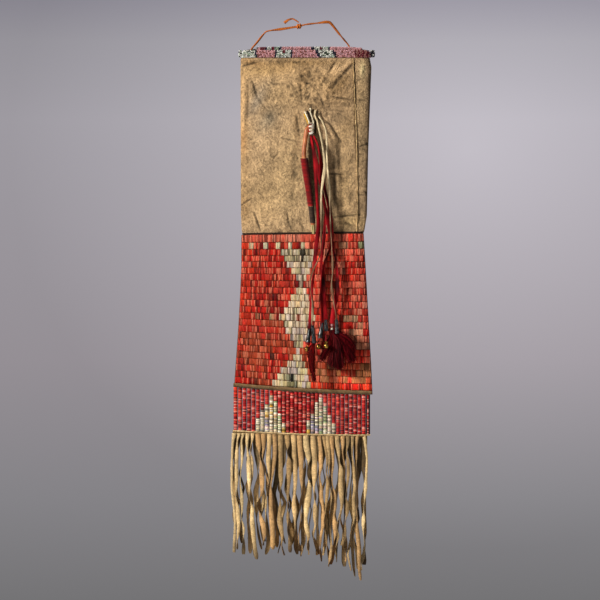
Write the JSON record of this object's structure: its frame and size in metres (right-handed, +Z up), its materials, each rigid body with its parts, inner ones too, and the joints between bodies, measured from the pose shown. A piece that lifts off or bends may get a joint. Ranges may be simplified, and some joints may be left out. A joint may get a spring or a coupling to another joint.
{
  "type": "hide pipe bag with quilled panel",
  "caption": "Long flat hide bag hung by a thong, with a bead-edged mouth, a quilled front panel, quill-wrapped slats, a cut fringe and a swinging pendant of thongs.",
  "frame": {"origin": "the point of the hanging thong's upper stretch that the bag hangs on", "axes": "+Z up along the bag, +X to the right of its front, -Y out of its front"},
  "size_m": [0.1954, 0.0551, 0.7702],
  "materials": {
    "hide": "smoked and worn suede",
    "fringe_hide": "suede",
    "dark_hide": "dark worn suede",
    "olive_hide": "worn suede",
    "seam": "pale hide welt",
    "pink_beads": "opaque seed beads",
    "white_beads": "opaque seed beads",
    "black_beads": "opaque seed beads",
    "red_quills": "dyed flattened quills",
    "white_quills": "undyed flattened quills",
    "slat_quills": "rawhide slats wrapped in dyed quills",
    "orange_thong": "smooth thong",
    "wood": "bare twig",
    "red_yarn": "wool",
    "grey_yarn": "wool",
    "pale_thong": "pale hide",
    "yellow_thong": "dyed hide",
    "red_thong": "dyed hide",
    "tin": "dull rolled tin",
    "brass": "worn",
    "maroon_hair": "dyed hair"
  },
  "bodies": {
    "bag": {"back_bead_edging": "pink_beads", "divider_strip": "olive_hide", "fringe_back": "fringe_hide", "fringe_front": "fringe_hide", "front_bead_edging": "pink_beads", "hanging_thong": "orange_thong", "hide_pouch": "hide", "left_bead_knob": "white_beads", "panel_backing": "hide", "panel_seam_welt": "dark_hide", "red_quillwork": "red_quills", "right_bead_knob": "black_beads", "side_seam_welt": "seam", "slat_band": "slat_quills", "thong_knot": "orange_thong", "thong_loose_end": "orange_thong", "white_quillwork": "white_quills", "white_wrap_06": "white_quills", "white_wrap_07": "white_quills", "white_wrap_08": "white_quills", "white_wrap_09": "white_quills", "white_wrap_10": "white_quills", "white_wrap_11": "white_quills", "white_wrap_12": "white_quills", "white_wrap_18": "white_quills", "white_wrap_19": "white_quills", "white_wrap_20": "white_quills", "white_wrap_21": "white_quills", "white_wrap_22": "white_quills", "white_wrap_23": "white_quills", "white_wrap_24": "white_quills"},
    "tie": {"tie_knot": "pale_thong"},
    "pendant": {"bell_strand": "red_thong", "brass_bell_1": "brass", "brass_bell_2": "brass", "brass_bell_3": "brass", "glass_bead_1": "pink_beads", "glass_bead_2": "pink_beads", "grey_yarn_wrap": "grey_yarn", "maroon_tuft": "maroon_hair", "pendant_binding": "pale_thong", "pendant_stick": "wood", "red_thong_1": "red_thong", "red_thong_2": "red_thong", "red_thong_3": "red_thong", "red_thong_4": "red_thong", "red_yarn_wrap": "red_yarn", "small_tuft": "red_yarn", "stick_tip": "pale_thong", "tie_strand_white": "pale_thong", "tie_strand_yellow": "yellow_thong", "tin_cone_1": "tin", "tin_cone_2": "tin", "tin_cone_3": "tin", "tin_cone_4": "tin", "tin_cone_5": "tin", "white_thong_1": "pale_thong", "white_thong_2": "pale_thong"}
  },
  "joints": [
    {"name": "pendant_lift", "type": "hinge", "parent": "bag", "child": "tie", "pos_m": [0.0075, -0.0138, -0.117], "axis": [-1, 0, 0], "range_deg": [0, 60]},
    {"name": "pendant_swing", "type": "hinge", "parent": "tie", "child": "pendant", "pos_m": [0.0075, -0.0138, -0.117], "axis": [0, 1, 0], "range_deg": [-25, 25]}
  ]
}
